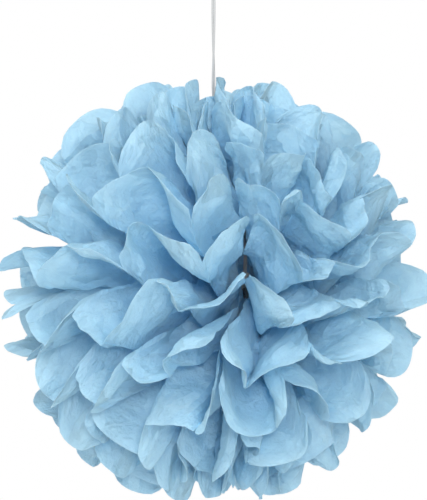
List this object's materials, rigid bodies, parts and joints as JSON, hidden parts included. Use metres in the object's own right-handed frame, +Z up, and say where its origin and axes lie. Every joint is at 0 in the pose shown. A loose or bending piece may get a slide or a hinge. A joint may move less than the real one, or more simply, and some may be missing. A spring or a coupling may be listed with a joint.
{
  "type": "tissue paper pom pom",
  "caption": "Hanging tissue paper pom pom, 40 cm, powder blue: ten pleated sheets with round-cut ends, tied at the waist with wire and opened into a ball, on a white string with a loop.",
  "frame": {"origin": "the point inside the top of the string's loop that rests on the hook, above the ball", "axes": "+Z up along the string and the axis of the paper stack; the strip lay along X, the seam between the two fans faces -Y (front) and +Y"},
  "size_m": [0.4044, 0.4052, 0.5189],
  "materials": {
    "blue_tissue": "thin matt tissue paper, softly crumpled",
    "grey_wire": "paper-covered wire",
    "white_string": "twisted cotton string"
  },
  "bodies": {
    "root": {"tissue_sheet_01": "blue_tissue", "tissue_sheet_02": "blue_tissue", "tissue_sheet_03": "blue_tissue", "tissue_sheet_04": "blue_tissue", "tissue_sheet_05": "blue_tissue", "tissue_sheet_06": "blue_tissue", "tissue_sheet_07": "blue_tissue", "tissue_sheet_08": "blue_tissue", "tissue_sheet_09": "blue_tissue", "tissue_sheet_10": "blue_tissue", "tie_wire": "grey_wire", "hanging_string": "white_string"}
  },
  "joints": []
}
